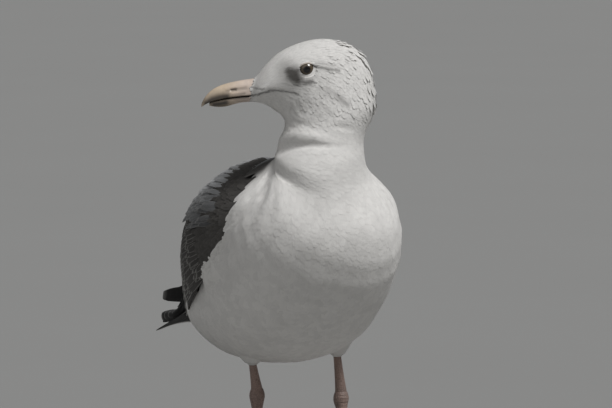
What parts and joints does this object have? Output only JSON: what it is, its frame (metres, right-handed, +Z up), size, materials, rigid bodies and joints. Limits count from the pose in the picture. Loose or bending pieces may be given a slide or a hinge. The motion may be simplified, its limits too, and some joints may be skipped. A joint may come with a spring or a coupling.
{
  "type": "standing herring gull",
  "caption": "Life-size still model of a standing herring gull with folded wings, webbed feet and its head turned to its right.",
  "frame": {"origin": "on the floor, under the middle of the bird's bounding box", "axes": "-Y the way the breast faces, +Y towards the tail, +X the bird's left, +Z up"},
  "size_m": [0.1674, 0.4314, 0.3417],
  "materials": {
    "plumage_white": "white feathers, matt, lightly streaked with grey-brown",
    "plumage_grey": "grey feathers with paler and browner edges, matt",
    "plumage_black": "black feathers with pale tips, slightly glossy",
    "bill": "horn, dull straw and flesh colour with a dark mark near the tip",
    "eye": "wet and glossy, dark iris and black pupil",
    "leg_skin": "scaly skin, dull flesh colour, satin",
    "claw": "black horn, satin"
  },
  "bodies": {
    "root": {"head": "plumage_white", "neck": "plumage_white", "trunk": "plumage_white", "thigh_left": "plumage_white", "thigh_right": "plumage_white", "wing_left": "plumage_grey", "wing_right": "plumage_grey", "primaries_left": "plumage_black", "primaries_right": "plumage_black", "tail": "plumage_black", "upper_bill": "bill", "lower_bill": "bill", "eye_left": "eye", "eye_right": "eye", "shank_left": "leg_skin", "shank_right": "leg_skin", "tarsus_left": "leg_skin", "tarsus_right": "leg_skin", "foot_left": "leg_skin", "foot_right": "leg_skin", "hind_toe_left": "leg_skin", "hind_toe_right": "leg_skin", "claw_inner_left": "claw", "claw_inner_right": "claw", "claw_middle_left": "claw", "claw_middle_right": "claw", "claw_outer_left": "claw", "claw_outer_right": "claw", "hind_claw_left": "claw", "hind_claw_right": "claw"}
  },
  "joints": []
}
